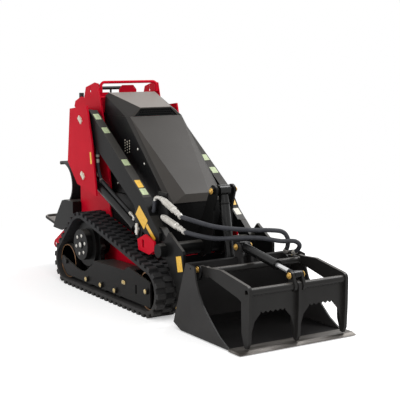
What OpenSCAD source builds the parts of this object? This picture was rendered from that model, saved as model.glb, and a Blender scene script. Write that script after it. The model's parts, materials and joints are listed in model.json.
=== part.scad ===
// Mini skid steer loader on rubber tracks, with radial lift arms and a grapple bucket.
// Millimetres. +X forward, +Y to the machine's left, +Z up, floor at z = 0.
// Side pieces are drawn on the right (y < 0) and mirrored for the left.

/* [Undercarriage] */
// Width over the two tracks
overall_w = 840; // [800:2:900]
// Width of one rubber track
track_w = 180; // [160:2:190]
// Thickness of the belt without its lugs
belt_t = 20; // [16:1:26]
// Height of a tread lug
lug_h = 22; // [16:1:26]
// Length of a tread lug along the belt
lug_l = 32; // [24:1:40]
// Wanted spacing of the lugs along the belt
lug_pitch = 62; // [54:1:80]
// Radius of the front idler
front_idler_r = 123; // [110:1:130]
// Radius of the rear idler
rear_idler_r = 120; // [105:1:125]
// Radius of a bottom roller
roller_r = 50; // [44:1:56]
// Radius over the drive sprocket's teeth
sprocket_r = 183; // [170:1:190]
// Height of the drive sprocket's axis
sprocket_z = 318; // [305:1:330]
// Place of the front idler along the machine
front_idler_x = 400; // [380:2:415]
// Place of the rear idler along the machine
rear_idler_x = -747; // [-765:2:-720]
// Place of the drive sprocket along the machine
sprocket_x = -495; // [-510:2:-470]
// Thickness of the track frame's plates
frame_t = 12; // [8:1:14]
// Radius of the idler and roller axles
axle_r = 13; // [10:0.5:16]

/* [Body] */
// Gap between the chassis box and a track
track_gap = 10; // [8:1:20]
// Thickness of the chassis plates
chassis_t = 8; // [5:1:12]
// Step from the chassis box's side in to the hood's
hood_step = 17; // [16:1:26]
// Thickness of the hood's sheet
hood_t = 5; // [3:0.5:8]
// Height of the seam under the hood
hood_seam_z = 690; // [680:1:720]
// Thickness of the console's plates
console_t = 6; // [4:0.5:8]
// Radius of the bar over the console
bar_r = 10; // [8:0.5:13]

/* [Lift arms] */
// Outer half width over the lift arms
arm_hw = 335; // [325:1:340]
// Width of one arm's box
arm_w = 60; // [52:1:64]
// Depth of the arm's box
arm_depth = 120; // [105:1:130]
// Thickness of the clevis plates at the lift cylinder's rod
clevis_t = 11; // [8:1:12]
// Radius of the lift arm's pivot pin
pivot_r = 20; // [16:0.5:24]
// Radius of the cross tube
cross_r = 42; // [36:1:46]
// How far the cross tube stands out of the arms
cross_out = 45; // [36:1:52]
// Thickness of the gooseneck plates
neck_t = 18; // [14:1:20]
// Radius of the bucket's hinge pins
tool_pin_r = 14; // [11:0.5:16]
// Thickness of the tower's plates
tower_t = 12; // [8:1:12]

/* [Cylinders] */
// Outer radius of the lift cylinders' barrels
lift_barrel_r = 32; // [28:1:34]
// Radius of the lift cylinders' rods
lift_rod_r = 17; // [14:0.5:20]
// Outer radius of the tilt cylinder's barrel
tilt_barrel_r = 31; // [26:1:34]
// Radius of the tilt cylinder's rod
tilt_rod_r = 16; // [13:0.5:19]
// Outer radius of the grapple cylinder's barrel
grab_barrel_r = 27; // [23:1:30]
// Radius of the grapple cylinder's rod
grab_rod_r = 13; // [10:0.5:16]

/* [Bucket and grapple] */
// Half width of the bucket's body
bucket_hw = 400; // [380:1:405]
// Thickness of the bucket's sheet
bucket_t = 8; // [6:0.5:12]
// Half width of the cutting edge
edge_hw = 408; // [406:1:416]
// Front of the cutting edge
edge_x = 1423; // [1423:1:1450]
// Half width over the grapple's outer tines
tine_hw = 346; // [330:1:360]
// Thickness of a tine's plate
tine_t = 20; // [14:1:24]
// Radius of the grapple's cross tube
grab_tube_r = 22; // [18:1:26]

/* [Platform] */
// Rear end of the platform's loop
platform_x = -1397; // [-1430:1:-1370]
// Half width of the platform
platform_hw = 300; // [280:1:310]
// Radius of the platform's loop
loop_r = 11; // [9:0.5:14]

/* [Hidden] */

RED = [0.78, 0.06, 0.10];
BLACK = [0.10, 0.10, 0.10];
GREY = [0.30, 0.29, 0.28];
ZINC = [0.80, 0.63, 0.25];
SILVER = [0.75, 0.75, 0.75];
RUBBER = [0.06, 0.06, 0.06];

// Clearances: pieces that only meet, a pin in its bore, and the two cheeks of an eye
meet = 0.4;
pin_fit = 0.06;
cheek_gap = 1;
// How far a bar's sides stay inside the tangents of its round ends
shy = 0.08;

// Joint centres in the XZ plane
lift_p = [-579, 1168];
lift_b = [-551, 787];
lift_r = [177, 480];
cross_c = [497, 432];
tilt_q = [687, 110];
tilt_e = [735, 305];
tilt_t = [642, 793];
grab_h = [884, 380];
grab_c = [857, 480];
grab_g = [1375, 399];
hood_h = [-528, 1318];
platform_h = [-1158, 352];
grab_hinge_y = 315;

$fn = 48;

chassis_hw = overall_w / 2 - track_w - track_gap;
hood_hw = chassis_hw - hood_step;
cross_hl = arm_hw + cross_out;

// Unit vector at an angle in the XZ plane
function unit(a) = [cos(a), sin(a)];
// Angle from one point to another
function aim(a, b) = atan2(b[1] - a[1], b[0] - a[0]);

// The whole machine is centred between the platform's loop and the cutting edge
module placed() translate([-(edge_x + platform_x) / 2, 0, 0]) children();
// Draws its children on the right (s < 0) or on the left
module side(s) {
    if (s < 0) children();
    else mirror([0, 1, 0]) children();
}
module twin() {
    children();
    mirror([0, 1, 0]) children();
}
// Plate between two values of y, from an outline drawn in the XZ plane
module slab(y_lo, y_hi) translate([0, y_hi, 0]) rotate([90, 0, 0]) linear_extrude(y_hi - y_lo) children();
// Cylinder along y
module cross_pin(p, r, y_lo, y_hi) translate([p[0], y_hi, p[1]]) rotate([90, 0, 0]) cylinder(r = r, h = y_hi - y_lo);
// Frame whose x axis runs from a to b in the XZ plane
module along(a, b) translate([a[0], 0, a[1]]) rotate([0, -aim(a, b), 0]) children();
// Cylinder along x
module shaft(x_lo, x_hi, r) translate([x_lo, 0, 0]) rotate([0, 90, 0]) cylinder(r = r, h = x_hi - x_lo);
// Outline of a bar with a round end of its own radius at each point
module taper(a, ra, b, rb) {
    lean = acos((ra - rb) / norm(b - a));
    turn = aim(a, b);
    ka = ra - shy;
    kb = rb - shy;
    translate(a) circle(ra);
    translate(b) circle(rb);
    polygon([a + ka * unit(turn + lean), b + kb * unit(turn + lean), b + kb * unit(turn - lean), a + ka * unit(turn - lean)]);
}
// Strip of constant thickness along a list of points, on their left side
module strip(pts, t) {
    function across(i) = t * unit(aim(pts[i], pts[i + 1]) + 90);
    for (i = [0:len(pts) - 2]) polygon([pts[i], pts[i + 1], pts[i + 1] + across(i), pts[i] + across(i)]);
    if (len(pts) > 2) for (i = [1:len(pts) - 2]) polygon([pts[i], pts[i] + across(i - 1), pts[i] + across(i)]);
}
// Sheet folded in the XZ plane, between two values of y
module folded(pts, t, y_lo, y_hi) slab(y_lo, y_hi) strip(pts, t);

// Track loop: rear idler, front idler, sprocket, in the order that the belt passes them
tread_t = belt_t + lug_h;
track_c = [[rear_idler_x, rear_idler_r + tread_t], [front_idler_x, front_idler_r + tread_t], [sprocket_x, sprocket_z]];
track_r = [rear_idler_r, front_idler_r, sprocket_r];
track_y = -overall_w / 2;
tread_rows = 3;

// Direction in which the belt faces on the straight run that follows wheel i
function run_face(i) = let (a = track_c[i % 3], b = track_c[(i + 1) % 3])
    aim(a, b) - acos((track_r[i % 3] - track_r[(i + 1) % 3]) / norm(b - a));
function run_len(i) = let (a = track_c[i % 3], b = track_c[(i + 1) % 3])
    sqrt(pow(norm(b - a), 2) - pow(track_r[i % 3] - track_r[(i + 1) % 3], 2));
function wrap_turn(i) = (run_face(i + 1) - run_face(i) + 720) % 360;
// Carcass radius on wheel i, on which the lugs are spaced
function lug_r(i) = track_r[i % 3] + belt_t;
function wrap_len(i) = wrap_turn(i) * PI / 180 * lug_r(i + 1);
belt_len = run_len(0) + run_len(1) + run_len(2) + wrap_len(0) + wrap_len(1) + wrap_len(2);
lug_count = round(belt_len / lug_pitch);
// Place and facing angle at a distance s along the belt, counted from run i
function belt_at(s, i = 0) =
    s <= run_len(i) ? [track_c[i % 3] + lug_r(i) * unit(run_face(i)) + s * unit(run_face(i) + 90), run_face(i)]
    : s <= run_len(i) + wrap_len(i) ? let (a = run_face(i) + (s - run_len(i)) / wrap_len(i) * wrap_turn(i))
        [track_c[(i + 1) % 3] + lug_r(i + 1) * unit(a), a]
    : belt_at(s - run_len(i) - wrap_len(i), i + 1);

module track_loop(grow) {
    for (i = [0:2]) taper(track_c[i], track_r[i] + grow, track_c[(i + 1) % 3], track_r[(i + 1) % 3] + grow);
    polygon(track_c);
}
module tread(phase) {
    for (k = [0:lug_count - 1]) {
        place = belt_at((k + phase) * belt_len / lug_count);
        translate(place[0]) rotate(place[1]) translate([-belt_t / 4, -lug_l / 2]) square([lug_h + belt_t / 4, lug_l]);
    }
}
module track(s) color(RUBBER) side(s) for (k = [0:tread_rows - 1])
    slab(track_y + k * track_w / tread_rows, track_y + (k + 1) * track_w / tread_rows) difference() {
        union() {
            track_loop(belt_t);
            tread(k % 2 / 2);
        }
        track_loop(meet);
    }

// Track frame: outer and inner plates joined over the rollers
frame_out_y = track_y + 17;
frame_in_y = -chassis_hw - 30;
roller_x = [-422, -208, -9];
frame_low_z = tread_t + 25;
function axle_list() = concat(
    [[track_c[0], rear_idler_r], [track_c[1], front_idler_r]],
    [for (x = roller_x) [[x, tread_t + roller_r], roller_r]]);
frame_top = [[220, 265], [156, 276], [112, 247], [-315, 235]];
module frame_outline() difference() {
    polygon([
        [rear_idler_x - 65, track_c[0][1] + 31], [rear_idler_x - 85, track_c[0][1] - 19], [rear_idler_x + 2, frame_low_z],
        [front_idler_x + 44, frame_low_z], [front_idler_x + 44, track_c[1][1] + 60], frame_top[0], frame_top[1], frame_top[2],
        frame_top[3], [-350, 200], [-399, 171], [-450, 140], [-517, 131], [-580, 138], [-640, 152]
    ]);
    for (a = axle_list()) translate(a[0]) circle(axle_r + pin_fit);
    translate([front_idler_x - 145, 120]) square([18, 60]);
}
module track_frame(s) color(BLACK) side(s) {
    slab(frame_out_y, frame_out_y + frame_t) frame_outline();
    slab(frame_in_y - frame_t, frame_in_y) frame_outline();
    folded(frame_top, frame_t, frame_out_y + frame_t, frame_in_y - frame_t);
}

// Idlers and bottom rollers, each with its axle and bolt head
wheel_y = [frame_out_y + frame_t + 5, frame_in_y - frame_t - 5];
groove_hw = 22;
module wheel(c, r) {
    difference() {
        cross_pin(c, r - meet, wheel_y[0], wheel_y[1]);
        if (r > 80) {
            for (y = [wheel_y[0] - 1, wheel_y[1] - 17]) difference() {
                cross_pin(c, r - 22, y, y + 18);
                cross_pin(c, 40, y - 1, y + 19);
            }
            difference() {
                cross_pin(c, r + 1, sprocket_y - groove_hw, sprocket_y + groove_hw);
                cross_pin(c, r - 45, sprocket_y - groove_hw, sprocket_y + groove_hw);
            }
        }
    }
    cross_pin(c, axle_r, frame_out_y - 6, frame_in_y);
    cross_pin(c, axle_r + 7, frame_out_y - 12, frame_out_y);
}
module rollers(s) color(ZINC) side(s) for (a = axle_list()) wheel(a[0], a[1]);

// Drive sprocket on its hub motor
tooth_count = 14;
tooth_h = 16;
sprocket_y = track_y + track_w / 2;
module sprocket(s) color(BLACK) side(s) {
    slab(sprocket_y - 15, sprocket_y + 15) translate(track_c[2]) {
        circle(sprocket_r - tooth_h);
        for (k = [0:tooth_count - 1]) rotate(k * 360 / tooth_count)
            polygon([[100, -18], [sprocket_r - tooth_h, -18], [sprocket_r - meet, -9], [sprocket_r - meet, 9], [sprocket_r - tooth_h, 18], [100, 18]]);
    }
    cross_pin(track_c[2], 150, sprocket_y - 40, sprocket_y - 15);
    cross_pin(track_c[2], 106, track_y + 6, sprocket_y - 40);
    cross_pin(track_c[2], 30, track_y + 1, track_y + 6);
    cross_pin(track_c[2], 80, sprocket_y + 15, -chassis_hw);
}

// Chassis box between the tracks, with the beams that carry the track frames
chassis_low_z = 180;
chassis_top = [[-848, 655], [-401, 628], [-374, 506], [26, 411], [318, 341], [318, 250], [240, chassis_low_z], [-800, chassis_low_z], [-848, 230]];
beam_x = [-160, 190];
module chassis_frame() color(RED) {
    twin() slab(-chassis_hw, -chassis_hw + chassis_t) polygon(chassis_top);
    folded([[-848, 655], [-848, 230], [-800, chassis_low_z], [240, chassis_low_z], [318, 250], [318, 341]], chassis_t, -chassis_hw, chassis_hw);
    twin() for (x = beam_x) translate([x - 40, frame_in_y, chassis_low_z + 5]) cube([80, -chassis_hw - frame_in_y, 46]);
}
// Folded side panels above the tracks
panel_t = 9;
panel_y = -chassis_hw - panel_t;
module side_panels() color(RED) twin() slab(panel_y, -chassis_hw)
    polygon([[-839, 674], [-401, 633], [-366, 470], [-500, 470], [-839, 560]]);
// Tie-down brackets that reach over the front of the tracks
bracket_y = -arm_hw - 30;
bracket_pts = [[218, 462], [318, 506], [430, 475], [430, 420], [364, 385], [231, 397]];
module front_brackets() color(RED) twin() {
    difference() {
        slab(bracket_y, bracket_y + tower_t) polygon(bracket_pts);
        slab(bracket_y - 1, bracket_y + tower_t + 1) taper([290, 430], 13, [290, 458], 13);
    }
    folded([bracket_pts[4], bracket_pts[5]], -tower_t, bracket_y, -chassis_hw + chassis_t);
    slab(-chassis_hw, -chassis_hw + chassis_t) polygon([bracket_pts[5], bracket_pts[4], [350, 345], [318.2, 341.4], [231, 362.3]]);
}
// Tie-down plates at the rear of the chassis
tie_hole = [-1285, 188];
tie_r = 14;
module rear_plates() color(RED) twin() slab(panel_y, -chassis_hw) difference() {
    polygon([[-790, 230], [-790, 330], [-1060, 330], [-1126, 318], [-1300, 212], [-1318, 180], [-1290, 158], [-1126, 230]]);
    translate(tie_hole) circle(tie_r);
}
// Walls round the engine under the hood
bay_y = -chassis_hw + chassis_t;
module engine_bay() color(BLACK) {
    twin() slab(bay_y, bay_y + hood_t) polygon([[-395, hood_seam_z - 5], [345, hood_seam_z - 5], [310, 345], [26, 405], [-370, 500]]);
    folded([[310 - hood_t, 345], [345 - hood_t, hood_seam_z - 5]], -hood_t, bay_y + hood_t, -bay_y - hood_t);
}
engine_hw = hood_hw - 43;
module engine() color(GREY) translate([-330, -engine_hw, chassis_low_z + chassis_t]) cube([480, 2 * engine_hw, 560]);

// Towers that carry the lift arms
tower_out_y = -arm_hw - 25;
tower_in_y = panel_y - 11;
tower_pts = [[-745, 1236], [-484, 1267], [-414, 1027], [-355, 666], [-643, 720], [-791, 864]];
tower_in_pts = [[-745, 1236], [-484, 1267], [-414, 1027], [-355, 700], [-380, 600], [-700, 600], [-791, 864]];
module tower_bores() {
    translate(lift_p) circle(pivot_r + pin_fit);
    translate(lift_b) circle(pivot_r + pin_fit);
}
module tower(s) color(RED) side(s) {
    slab(tower_out_y, tower_out_y + tower_t) difference() {
        polygon(tower_pts);
        tower_bores();
    }
    slab(tower_in_y, panel_y) difference() {
        polygon(tower_in_pts);
        tower_bores();
    }
    folded([[-643, 720], [-791, 864], [-745, 1236]], -8, tower_out_y + tower_t, tower_in_y);
}
// Pivot pins with the retainer plates that lock them
module pivot_pins() color(SILVER) twin() for (p = [lift_p, lift_b]) {
    cross_pin(p, pivot_r, tower_out_y, panel_y);
    slab(tower_out_y - 8, tower_out_y) translate(p) rotate(-40) square([56, 30], center = true);
}

// Operator's console between the towers
console_y = panel_y;
console_pts = [[-920, 1240], [-904, 1279], [-809, 1314], [-761, 1307], [-733, 1382], [-599, 1418], [-545, 1412],
    [-527, 1351], [-503, 1263], [-478, 1215], [-478, 1000], [-560, 690], [-800, 690], [-800, 1180]];
dash_x = -558;
module console() color(RED) {
    twin() slab(console_y, console_y + console_t) difference() {
        polygon(console_pts);
        translate([-665, 1356]) circle(10);
        translate([-665, 1374]) square([11, 30], center = true);
        translate([-665, 1324]) circle(7);
    }
    folded([[-800, 690], [-800, 1180], [-918, 1240], [-904, 1279], [-880, 1290], [dash_x, 1290]], -console_t, console_y + console_t, -console_y - console_t);
    twin() translate([dash_x, console_y + console_t, 1215]) cube([console_t, 83, 136]);
    cross_pin(hood_h, hood_pin_r, console_y + console_t, -console_y - console_t);
    translate([dash_x - console_t, 0, 0]) rotate([90, 0, 90]) linear_extrude(console_t)
        polygon([[-68, 1286], [68, 1286], [68, 1368], [43, 1398], [-43, 1398], [-68, 1368]]);
}
bar_x = -543;
bar_z = 1420;
bar_hw = -console_y - 21;
bar_bend = 28;
bar_foot_z = 1351.3;
module guard_bar() color(RED) {
    cross_pin([bar_x, bar_z], bar_r, -bar_hw + bar_bend, bar_hw - bar_bend);
    twin() {
        translate([bar_x, -bar_hw + bar_bend, bar_z - bar_bend]) rotate([0, -90, 0])
            rotate_extrude(angle = -90) translate([bar_bend, 0]) circle(bar_r);
        translate([bar_x, -bar_hw, bar_foot_z]) cylinder(r = bar_r, h = bar_z - bar_bend - bar_foot_z);
        translate([bar_x - 12, console_y + console_t, bar_foot_z]) cube([24, 22, 24]);
    }
}
// Control levers and their housing
module controls() color(BLACK) {
    translate([-865, -150, 1290]) cube([100, 300, 26]);
    for (y = [-90, 0, 90]) translate([-815, y, 1310]) cylinder(r = 7, h = 60);
    cross_pin([-815, 1370], 12, -95, 95);
    translate([-590, -200, 1290]) cylinder(r = 12, h = 115);
    translate([-865, -150, 1290]) mirror([0, 1, 0]) cube([70, 78, 12]);
    translate([-850, -215, 1296]) cylinder(r = 17, h = 42);
}
// Curved pad that the operator leans on
pad_c = [-1085, 670];
pad_r = 158;
pad_t = 12;
module thigh_pad() color(BLACK) slab(-platform_hw + 40, platform_hw - 40) {
    intersection() {
        translate(pad_c) difference() {
            circle(pad_r);
            circle(pad_r - pad_t);
        }
        translate([pad_c[0] - 40, cheek_top_z + meet]) square(2 * pad_r);
    }
    translate(pad_c + (pad_r - pad_t / 2) * unit(105)) circle(13);
}

// Platform that the operator stands on
hinge_bar_r = 13;
cheek_top_z = 564;
cheek_pts = [[-848, cheek_top_z], [-980, cheek_top_z], [-1030, 552], [-1135, 424], [-1187, 335], [-1045, 331], [-848, 400]];
module platform_base() color(BLACK) {
    twin() slab(-platform_hw, -platform_hw + 10) difference() {
        polygon(cheek_pts);
        translate(platform_h) circle(hinge_bar_r + pin_fit);
    }
    folded([[-1030, 552], [-980, cheek_top_z], [-848, cheek_top_z]], -6, -platform_hw + 10, platform_hw - 10);
    folded([[-856, 400], [-856, 558]], -8, -platform_hw + 10, platform_hw - 10);
    folded([[-1140, 340], [-1045, 339], [-849, 409.5]], 6, -platform_hw + 10, platform_hw - 10);
}
platform_tip = [platform_x + loop_r, 389];
loop_bend = 45;
module platform() color(GREY) {
    length = norm(platform_tip - platform_h);
    along(platform_h, platform_tip) {
        twin() {
            translate([0, -platform_hw + 24, 0]) shaft(0, length - loop_bend, loop_r);
            translate([length - loop_bend, -platform_hw + 24 + loop_bend, 0]) rotate([0, 0, -90])
                rotate_extrude(angle = 90) translate([loop_bend, 0]) circle(loop_r);
        }
        translate([length, platform_hw - 24 - loop_bend, 0]) rotate([90, 0, 0])
            cylinder(r = loop_r, h = 2 * (platform_hw - 24 - loop_bend));
        translate([5, -platform_hw + 30, -3]) cube([length - 40, 2 * platform_hw - 60, 6]);
    }
    cross_pin(platform_h, hinge_bar_r, -platform_hw, platform_hw);
}

// Hood: a folded shell of flat faces. Corner table: x, share of the half width, z
hood_main_pts = [[350, 0.42, 741], [362, 0.87, hood_seam_z], [-168, 0.93, 1204], [-205, 1, 1204], [338, 1, hood_seam_z],
    [-480, 1, hood_seam_z], [-480, 1, 1204]];
hood_top_pts = [[-497, 0.85, 1351], [-172, 0.555, 1262], [-500, 0.97, 1332], [-205, 1, 1204.4], [-168, 0.93, 1204.4],
    [-500, 1, 1204.4]];
module corners(pts, inset = 0) hull() for (p = pts, s = [-1, 1])
    translate([p[0], s * (p[1] * hood_hw - inset), p[2]]) cube(0.01, center = true);
hood_pin_r = 8;
// The main shell is open at its rear, its top and its bottom
module hood_main() color(GREY) difference() {
    corners(hood_main_pts);
    corners([for (p = hood_main_pts) p[2] > 1200
        ? [p[0] - (p[0] < -400 ? 30 : 4 * hood_t), p[1], p[2] + 14]
        : [p[0] - (p[0] < -400 ? 30 : hood_t), p[1], p[2] < 700 ? p[2] - 30 : p[2] - hood_t]], hood_t);
}
// The top shell is open at its bottom and in front, and carries the hinge's ears
module hood_top() color(GREY) {
    difference() {
        corners(hood_top_pts);
        corners([for (p = hood_top_pts)
            [p[0] < -400 ? p[0] + hood_t : p[0] + 12, p[1], p[2] < 1212 ? p[2] - 30
                : p[2] - (p[0] < -400 ? 1 : 2) * hood_t]], hood_t);
    }
    twin() slab(-170, -160) difference() {
        union() {
            translate(hood_h) circle(hood_pin_r + 7);
            polygon([hood_h + [0, 15], [-480, 1343], [-440, 1332], [-440, 1300], hood_h - [0, 15]]);
        }
        translate(hood_h) circle(hood_pin_r + pin_fit);
    }
}
vent_x = -182;
vent_hw = [0.795 * hood_hw, 0.57 * hood_hw];
module hood_mesh() color(BLACK) translate([vent_x, 0, 0]) rotate([90, 0, 90]) linear_extrude(3) difference() {
    polygon([[-vent_hw[0], 1205], [vent_hw[0], 1205], [vent_hw[1], 1253], [-vent_hw[1], 1253]]);
    for (i = [-8:8], j = [0:2]) translate([i * 15 + (j % 2) * 7.5, 1216 + j * 14]) circle(5.5, $fn = 6);
}

// Lift arms: box beam from the pivot, then clevis plates down to the rod's pin
arm_in = arm_hw - arm_w;
arm_slope = -34.7;
arm_low = arm_depth / cos(arm_slope);
function arm_top_z(x) = 894.5 + tan(arm_slope) * x;
arm_box_pts = [[-493, arm_top_z(-493)], [243, arm_top_z(243)], [328, 620], [440, 527], [440, 478], [300, 478], [215, 520],
    [120, arm_top_z(120) - arm_low], [-585, lift_p[1] - 66], [-640, lift_p[1]]];
module arm(s) color(BLACK) side(s) difference() {
    union() {
        slab(-arm_hw, -arm_in) {
            polygon(arm_box_pts);
            translate(lift_p) circle(68);
        }
        slab(-arm_hw + neck_t, -arm_in) {
            taper(cross_c, cross_r + 16, [420, 520], 40);
        }
        for (y = [-arm_hw, -arm_in - clevis_t]) slab(y, y + clevis_t)
            taper(lift_r, 36, [200, 600], 70);
    }
    cross_pin(lift_p, pivot_r + pin_fit, -arm_hw - 1, -arm_in + 1);
    cross_pin(cross_c, cross_r + pin_fit, -arm_hw - 1, -arm_in + 1);
    cross_pin(lift_r, 52, -arm_hw + clevis_t, -arm_in - clevis_t);
    slab(-arm_hw + clevis_t, -arm_in - clevis_t) polygon([[100, 430], [100, 650], [240, 560], [300, 430]]);
}
module cross_tube() color(BLACK) {
    cross_pin(cross_c, cross_r, -cross_hl, cross_hl);
    twin() {
        cross_pin(lift_r, 17, -arm_hw - 8, -arm_hw);
        cross_pin(lift_r, 17, -arm_in, -arm_in + 8);
    }
}
neck_front = 722;
module gooseneck(s) color(BLACK) side(s) difference() {
    union() {
        slab(-arm_hw, -arm_hw + neck_t) polygon([[554, 549], [712, 458], [neck_front, 440], [neck_front, 150],
            [tilt_q[0] + 22, tilt_q[1] + 5], [tilt_q[0] - 22, tilt_q[1] + 5], [640, 220], [560, 330], [510, 385], [490, 480]]);
        cross_pin(tilt_q, 28, -arm_hw, -arm_hw + neck_t);
        cross_pin(cross_c, cross_r + 14, -arm_hw, -arm_hw + neck_t);
    }
    cross_pin(tilt_q, tool_pin_r + pin_fit, -arm_hw - 1, -arm_hw + neck_t + 1);
    cross_pin(cross_c, cross_r + pin_fit, -arm_hw - 1, -arm_hw + neck_t + 1);
}
// Plates that carry the tilt cylinder
tilt_y = 72;
module tilt_bracket() color(BLACK) {
    twin() difference() {
        slab(-tilt_y, -tilt_y + 14) {
            taper(tilt_t, 36, cross_c, 66);
            polygon([[480, 380], [600, 400], [640, 520], tilt_t]);
        }
        cross_pin(tilt_t, tool_pin_r + pin_fit, -tilt_y - 1, -tilt_y + 15);
        cross_pin(cross_c, cross_r + pin_fit, -tilt_y - 1, -tilt_y + 15);
    }
    cross_pin(tilt_t, tool_pin_r, -tilt_y - 6, tilt_y + 6);
    twin() cross_pin(tilt_t, tool_pin_r + 6, -tilt_y - 14, -tilt_y);
}
// Bracket and quick couplers for the attachment's hoses
module coupler_bracket() color(BLACK) slab(-arm_in, -arm_in + 10)
    polygon([[250, 650], [330, 770], [430, 770], [445, 600], [400, 520], [330, 560]]);
coupler_pts = [[[429, 730], [623, 663]], [[428, 624], [663, 574]]];
coupler_y = -arm_in - 25;
module couplers() color(SILVER) for (c = coupler_pts) translate([0, coupler_y, 0]) along(c[0], c[1]) {
    length = norm(c[1] - c[0]);
    shaft(0, length * 0.7, 19);
    shaft(length * 0.7, length, 13);
    translate([10, 8, -12]) cube([24, 17, 24]);
}

// Point at a distance past the end of a coupler, in line with it
function past(c, reach) = let (p = c[1] + reach * (c[1] - c[0]) / norm(c[1] - c[0])) [p[0], coupler_y, p[1]];

// Hoses from the couplers to the grapple, hand-placed: x, y, z
hose_r = 14;
upper_route = [past(coupler_pts[0], 0.8), past(coupler_pts[0], 25), [700, -245, 632], [770, -150, 600],
    [830, -50, 585], [880, 60, 575], [930, 160, 572], [960, 220, 560], [975, 245, 520], [960, 255, 470], [930, 260, 430]];
lower_route = [past(coupler_pts[1], 0.8), past(coupler_pts[1], 25), [735, -245, 550], [790, -150, 530],
    [850, -40, 532], [910, 80, 530], [985, 188, 512], [1028, 255, 512], [1032, 290, 485], [1000, 300, 450], [960, 300, 425]];
// Catmull-Rom point on a route, and its direction
function spline(p, u) = let (i = min(floor(u), len(p) - 2), t = u - i, a = p[max(i - 1, 0)], b = p[i], c = p[i + 1],
    d = p[min(i + 2, len(p) - 1)])
    0.5 * (2 * b + (c - a) * t + (2 * a - 5 * b + 4 * c - d) * t * t + (3 * b - a - 3 * c + d) * t * t * t);
hose_rings = 30;
hose_sides = 10;
module hose(route) {
    last = len(route) - 1;
    rings = [for (k = [0:hose_rings]) let (u = last * k / hose_rings, c = spline(route, u),
        t = spline(route, min(u + 0.02, last)) - spline(route, max(u - 0.02, 0)),
        side_dir = cross(t, [0, 0, 1]) / norm(cross(t, [0, 0, 1])), up_dir = cross(side_dir, t) / norm(t))
        for (j = [0:hose_sides - 1]) c + hose_r * (cos(j * 360 / hose_sides) * side_dir + sin(j * 360 / hose_sides) * up_dir)];
    polyhedron(rings, concat(
        [[for (j = [0:hose_sides - 1]) j]],
        [for (k = [0:hose_rings - 1], j = [0:hose_sides - 1]) let (a = k * hose_sides, n = (j + 1) % hose_sides)
            [a + j, a + hose_sides + j, a + hose_sides + n, a + n]],
        [[for (j = [hose_sides - 1:-1:0]) hose_rings * hose_sides + j]]));
}
module hose_upper() color(RUBBER) hose(upper_route);
module hose_lower() color(RUBBER) hose(lower_route);

// Hydraulic cylinders: base and rod pins, and how far the barrel reaches
barrel_wall = 5;
module barrel(a, b, reach, r, bore, eye_r, eye_w, pin_r) difference() {
    union() {
        along(a, b) {
            shaft(eye_r - 6, reach, r);
            shaft(reach - 30, reach, r + 2.5);
        }
        cross_pin(a, eye_r, -eye_w / 2, eye_w / 2);
    }
    along(a, b) shaft(pin_r + 12, reach + 1, bore);
    cross_pin(a, pin_r + pin_fit, -eye_w, eye_w);
}
module rod(a, b, inner, r, eye_r, eye_w) {
    along(a, b) shaft(inner, norm(b - a) - eye_r + 2.5, r);
    cross_pin(b, eye_r, -eye_w / 2, eye_w / 2);
}
lift_reach = 705;
lift_y = -(arm_hw + arm_in) / 2;
module lift_barrel(s) color(BLACK) side(s) translate([0, lift_y, 0])
    barrel(lift_b, lift_r, lift_reach, lift_barrel_r, lift_rod_r + pin_fit, 42, 60, pivot_r);
module lift_rod(s) color(SILVER) side(s) translate([0, lift_y, 0])
    rod(lift_b, lift_r, 120, lift_rod_r, 30, arm_w - 2 * clevis_t - 2 * cheek_gap);
tilt_reach = 420;
module tilt_barrel() color(BLACK) barrel(tilt_t, tilt_e, tilt_reach, tilt_barrel_r, tilt_rod_r + pin_fit, 34, tilt_y, tool_pin_r);
module tilt_rod() color(SILVER) rod(tilt_t, tilt_e, 72, tilt_rod_r, 17, 44);
grab_reach = 350;
module grapple_barrel() color(BLACK) barrel(grab_c, grab_g, grab_reach, grab_barrel_r, grab_rod_r + pin_fit, 28, 50, tool_pin_r);
module grapple_rod() color(SILVER) rod(grab_c, grab_g, 124, grab_rod_r, 24, 40);

// Attachment plate behind the bucket
back_low = [714, 42];
back_high = [853, 421];
back_angle = aim(back_low, back_high);
back_n = unit(back_angle + 90);
mount_t = 12;
mount_hw = arm_hw - neck_t - 12;
module mount_plate() color(BLACK) difference() {
    union() {
        slab(-mount_hw, mount_hw) strip([back_low + 20 * unit(back_angle), back_high - 80 * unit(back_angle)], mount_t);
        twin() {
            slab(-mount_hw, -mount_hw + 12) {
                translate(tilt_q) circle(28);
                polygon([tilt_q + [-28, 0], tilt_q + [0, 60], back_low + 150 * unit(back_angle), back_low + 20 * unit(back_angle), tilt_q + [0, -28]]);
            }
            slab(-38, -24) {
                taper(tilt_e, 24, tilt_e + 62 * -back_n, 40);
            }
            cross_pin(tilt_q, tool_pin_r, -arm_hw - 8, -mount_hw + 4);
            cross_pin(tilt_q, tool_pin_r + 7, -arm_hw - 14, -arm_hw - 2);
            cross_pin(tilt_e, 16, -46, -38);
        }
    }
    slab(-23, 23) polygon([back_low + 110 * unit(back_angle) - 2 * back_n, back_low + 340 * unit(back_angle) - 2 * back_n,
        back_low + 340 * unit(back_angle) + 40 * back_n, back_low + 110 * unit(back_angle) + 40 * back_n]);
    slab(-bucket_hw, bucket_hw) polygon([back_low, back_high, back_high - 60 * back_n, back_low - 60 * back_n]);
}

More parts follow.
